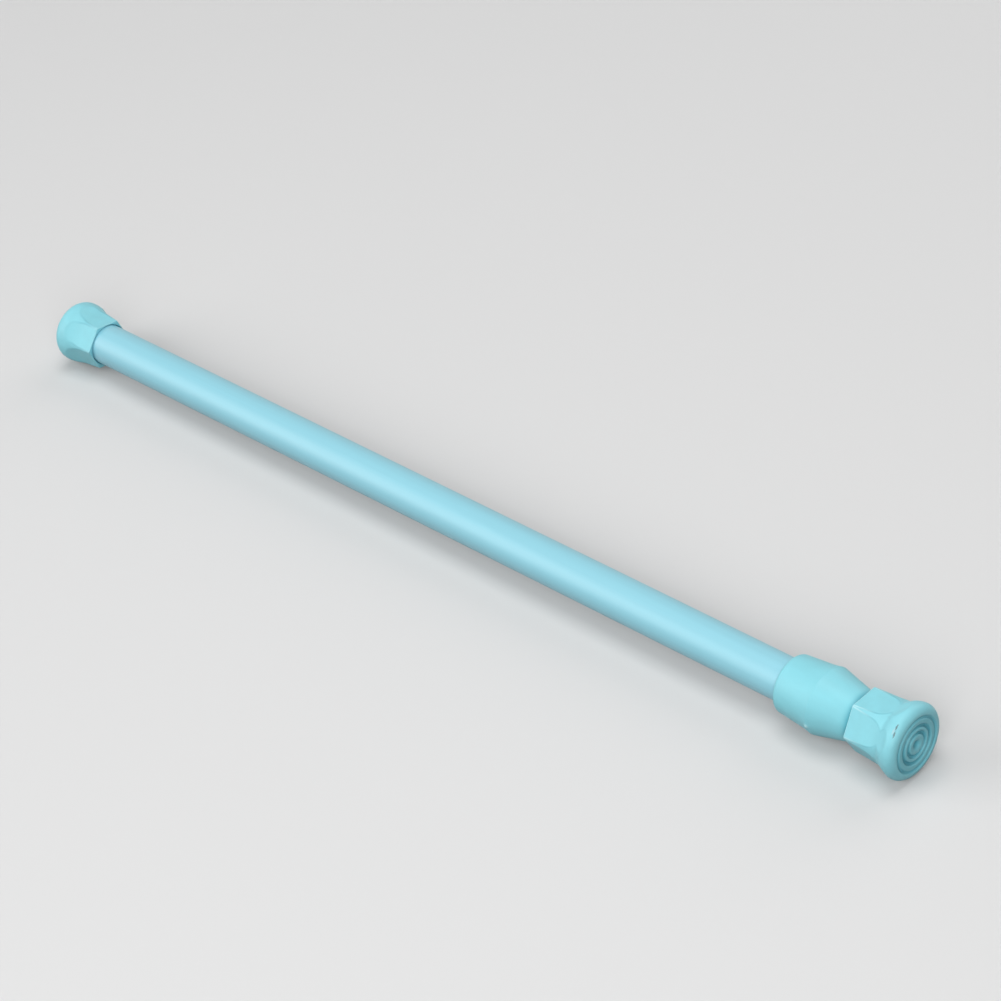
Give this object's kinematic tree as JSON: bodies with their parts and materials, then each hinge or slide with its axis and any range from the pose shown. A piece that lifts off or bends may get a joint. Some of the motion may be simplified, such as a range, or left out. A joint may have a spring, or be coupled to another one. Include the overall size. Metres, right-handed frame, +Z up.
{
  "type": "spring tension rod",
  "caption": "Telescopic spring tension rod: pale blue tube, tapered collar at its mouth, ribbed round rubber feet, and an inner tube that slides out, twists to lock and pushes on a spring.",
  "frame": {"origin": "centre of the outer foot's wall face", "axes": "+X along the rod from the outer foot to the inner foot, +Z up"},
  "size_m": [0.42, 0.0274, 0.0274],
  "materials": {
    "tube_film": "satin pale blue plastic film on thin steel tube",
    "foot_rubber": "soft matt pale blue rubber",
    "collar_plastic": "satin pale blue moulded plastic",
    "lock_nylon": "natural off-white nylon",
    "bright_steel": "bright drawn steel",
    "spring_steel": "oiled spring steel"
  },
  "bodies": {
    "outer": {"outer_tube": "tube_film", "outer_foot": "foot_rubber", "collar": "collar_plastic"},
    "glide": {"glide_ring": "lock_nylon"},
    "inner": {"inner_tube": "tube_film", "inner_foot": "foot_rubber", "tube_bush": "lock_nylon", "push_spring": "spring_steel"},
    "rod": {"lock_rod": "bright_steel", "stop_clip": "spring_steel", "cone_clip": "spring_steel", "thrust_washer": "bright_steel"},
    "sleeve": {"expander_sleeve": "lock_nylon"},
    "cone": {"cone_nut": "lock_nylon"}
  },
  "joints": [
    {"name": "extend", "type": "slide", "parent": "outer", "child": "glide", "axis": [1, 0, 0], "range_m": [0, 0.28]},
    {"name": "twist", "type": "hinge", "parent": "glide", "child": "inner", "pos_m": [0.42, 0, 0], "axis": [-1, 0, 0], "range_deg": [0, 360]},
    {"name": "spring_stroke", "type": "slide", "parent": "inner", "child": "rod", "axis": [1, 0, 0], "range_m": [0, 0.02], "stiffness_N_per_m": 3500, "springref_m": -0.003, "deforming": ["push_spring"]},
    {"name": "sleeve_turn", "type": "hinge", "parent": "rod", "child": "sleeve", "pos_m": [0.05, 0, 0], "axis": [-1, 0, 0], "range_deg": [-360, 0]},
    {"name": "cone_draw", "type": "slide", "parent": "sleeve", "child": "cone", "axis": [1, 0, 0], "range_m": [0, 0.001]}
  ],
  "couplings": [
    {"joint": "sleeve_turn", "follows": "twist", "ratio": -1},
    {"joint": "cone_draw", "follows": "twist", "m_per_rad": 0.00015915}
  ]
}
